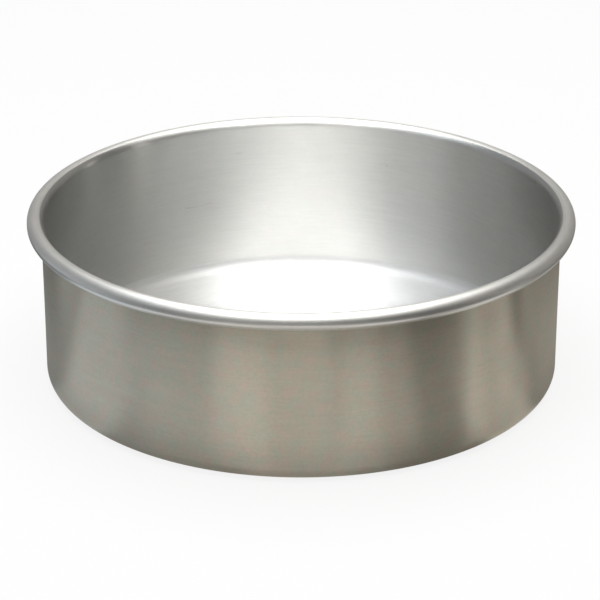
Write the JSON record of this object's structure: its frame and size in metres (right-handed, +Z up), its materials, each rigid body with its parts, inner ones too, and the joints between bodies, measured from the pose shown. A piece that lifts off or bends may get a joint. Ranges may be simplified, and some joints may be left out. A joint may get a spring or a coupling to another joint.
{
  "type": "round cake tin",
  "caption": "Straight-sided round metal cake tin with a flat floor, a small inside cove and a thick rolled rim closed round a wire; bakes a deep round cake.",
  "frame": {"origin": "centre of the tin's underside, on the surface that it stands on", "axes": "+Z up along the tin's axis, +Y to the back, where the two ends of the rim wire meet"},
  "size_m": [0.2436, 0.2436, 0.078],
  "materials": {
    "tin_sheet": "satin, spun and scratch-brushed round the axis",
    "rim_wire_steel": "dull galvanised"
  },
  "bodies": {
    "root": {"tin_body": "tin_sheet", "rim_wire": "rim_wire_steel"}
  },
  "joints": []
}
